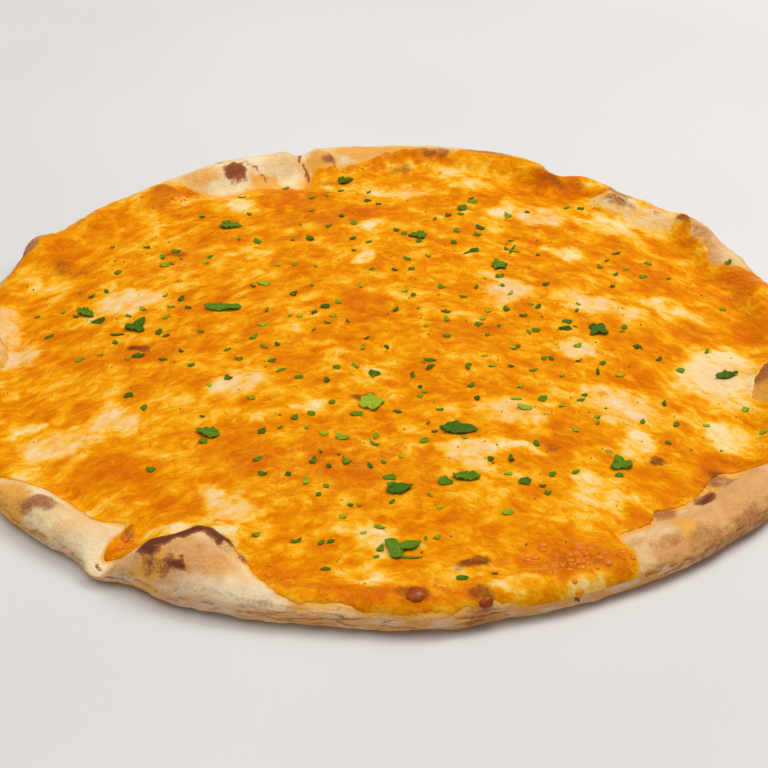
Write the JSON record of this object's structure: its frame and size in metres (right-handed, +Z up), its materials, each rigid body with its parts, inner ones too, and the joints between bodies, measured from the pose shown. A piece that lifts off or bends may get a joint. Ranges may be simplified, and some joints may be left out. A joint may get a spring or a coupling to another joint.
{
  "type": "cheese pizza",
  "caption": "Large thin round pizza with an uneven puffed crust rim, melted cheese over sauce and chopped parsley on top.",
  "frame": {"origin": "middle of the pizza's plan box, on the flat underside that it rests on", "axes": "+Z up out of the topping; +X to the right and +Y away from the eater as pictured"},
  "size_m": [0.3968, 0.4006, 0.0195],
  "materials": {
    "dough": "matt baked dough, pale and floury with brown blisters",
    "cheese": "glossy melted cheese, orange and yellow with cream patches",
    "parsley": "fresh chopped parsley, soft satin green"
  },
  "bodies": {
    "root": {"crust": "dough", "cheese": "cheese", "parsley_01": "parsley", "parsley_02": "parsley", "parsley_03": "parsley", "parsley_04": "parsley", "parsley_05": "parsley", "parsley_06": "parsley", "parsley_07": "parsley", "parsley_08": "parsley", "parsley_09": "parsley", "parsley_10": "parsley", "parsley_11": "parsley", "parsley_12": "parsley", "parsley_13": "parsley", "parsley_14": "parsley", "parsley_15": "parsley", "parsley_16": "parsley"}
  },
  "joints": []
}
